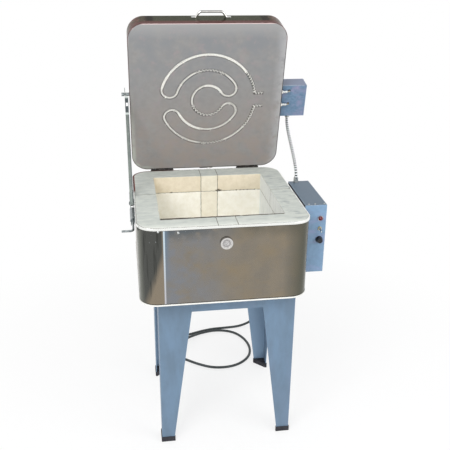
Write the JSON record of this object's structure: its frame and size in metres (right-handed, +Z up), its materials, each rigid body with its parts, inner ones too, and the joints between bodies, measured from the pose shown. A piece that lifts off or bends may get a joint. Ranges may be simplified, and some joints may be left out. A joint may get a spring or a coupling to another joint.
{
  "type": "electric kiln",
  "caption": "Top-opening electric kiln with a square firebrick chamber, a coiled element in the hinged lid, a control box on its right side and a sheet-steel stand",
  "frame": {"origin": "on the floor, at the middle of the bounding box of the kiln without its free cord and plug", "axes": "+Z up, the front with the peephole and the control box's face looks along -Y, +X is the right side as seen from the front"},
  "size_m": [0.7034, 0.8242, 1.4742],
  "materials": {
    "stand_paint": "blue-grey hammertone paint, satin",
    "boot_rubber": "matt black rubber",
    "zinc_steel": "zinc plated",
    "pan_steel": "pale painted sheet",
    "board": "matt insulating board and porcelain",
    "firebrick": "porous insulating firebrick, matt",
    "stainless": "bright rolled stainless sheet",
    "plug_ceramic": "matt fired ceramic",
    "bright_metal": "bright plated",
    "element_wire": "oxidised resistance wire",
    "brass": "plain turned brass",
    "box_paint": "blue-grey hammertone paint, satin",
    "wire_cover": "woven glass sleeve",
    "prop_steel": "zinc plated mild steel, dulled",
    "lens_red": "dark red translucent",
    "switch_plastic": "moulded brown-black",
    "knob_plastic": "moulded black",
    "fitting_metal": "cast zinc",
    "hose_metal": "bright wound strip",
    "cord_rubber": "matt dark grey jacket"
  },
  "bodies": {
    "kiln": {"stand_leg_front_left": "stand_paint", "stand_leg_front_right": "stand_paint", "stand_leg_rear_left": "stand_paint", "stand_leg_rear_right": "stand_paint", "stand_rail_front": "stand_paint", "stand_rail_rear": "stand_paint", "stand_rail_left": "stand_paint", "stand_rail_right": "stand_paint", "leg_boots": "boot_rubber", "base_pan": "pan_steel", "backing_board": "board", "floor_bricks": "firebrick", "wall_bricks_lower": "firebrick", "wall_bricks_upper": "firebrick", "key_bricks": "firebrick", "jacket": "stainless", "body_screws": "zinc_steel", "body_hinge_leaves": "zinc_steel", "hinge_pins": "zinc_steel", "bolt_barrel": "prop_steel", "bolt_keeper": "prop_steel", "control_box_shell": "box_paint", "control_box_back": "box_paint", "control_box_screws": "zinc_steel", "box_standoffs": "pan_steel", "lamp_bezel": "bright_metal", "lamp_lens": "lens_red", "toggle_switch": "bright_metal", "toggle_nut": "bright_metal", "rotary_switch": "switch_plastic", "terminal_block": "board", "box_wires": "wire_cover", "hose_fitting_lower": "fitting_metal", "wiring_hose": "hose_metal", "strain_relief": "cord_rubber", "power_cord": "cord_rubber", "cord_plug": "cord_rubber", "plug_blades": "brass"},
    "lid": {"lid_slab": "firebrick", "lid_band": "stainless", "lid_element": "element_wire", "element_staples": "element_wire", "element_bushings": "plug_ceramic", "element_terminals": "brass", "lid_box_base": "box_paint", "lid_box_cover": "box_paint", "lid_box_leads": "wire_cover", "lid_handle": "bright_metal", "lid_screws": "zinc_steel", "lid_hinge_leaves": "zinc_steel", "lid_rear_eye": "zinc_steel", "hose_fitting_upper": "fitting_metal", "prop_pivot_bolt": "zinc_steel", "wing_nut": "bright_metal"},
    "prop": {"prop_arm": "prop_steel"},
    "bolt": {"lock_bolt": "bright_metal"},
    "toggle": {"toggle_lever": "bright_metal"},
    "knob": {"control_knob": "knob_plastic"},
    "plug": {"peephole_plug": "plug_ceramic", "peephole_cap": "bright_metal"}
  },
  "joints": [
    {"name": "lid_hinge", "type": "hinge", "parent": "kiln", "child": "lid", "pos_m": [-0.02425, 0.25072, 0.8765], "axis": [1, 0, 0], "range_deg": [0, 77.5], "deforming": ["wiring_hose"]},
    {"name": "prop_pivot", "type": "hinge", "parent": "lid", "child": "prop", "pos_m": [-0.32425, 0.19881, 1.18457], "axis": [1, 0, 0], "range_deg": [-40.4, 0]},
    {"name": "bolt_slide", "type": "slide", "parent": "kiln", "child": "bolt", "axis": [0, 1, 0], "range_m": [0, 0.07]},
    {"name": "toggle_flip", "type": "hinge", "parent": "kiln", "child": "toggle", "pos_m": [0.31975, -0.19018, 0.79], "axis": [-1, 0, 0], "range_deg": [0, 30]},
    {"name": "knob_turn", "type": "hinge", "parent": "kiln", "child": "knob", "pos_m": [0.31975, -0.18518, 0.749], "axis": [0, 1, 0], "range_deg": [0, 270]},
    {"name": "plug_slide", "type": "slide", "parent": "kiln", "child": "plug", "axis": [0, -1, 0], "range_m": [0, 0.08]}
  ],
  "couplings": [
    {"joint": "prop_pivot", "follows": "lid_hinge", "ratio": -0.52065}
  ]
}
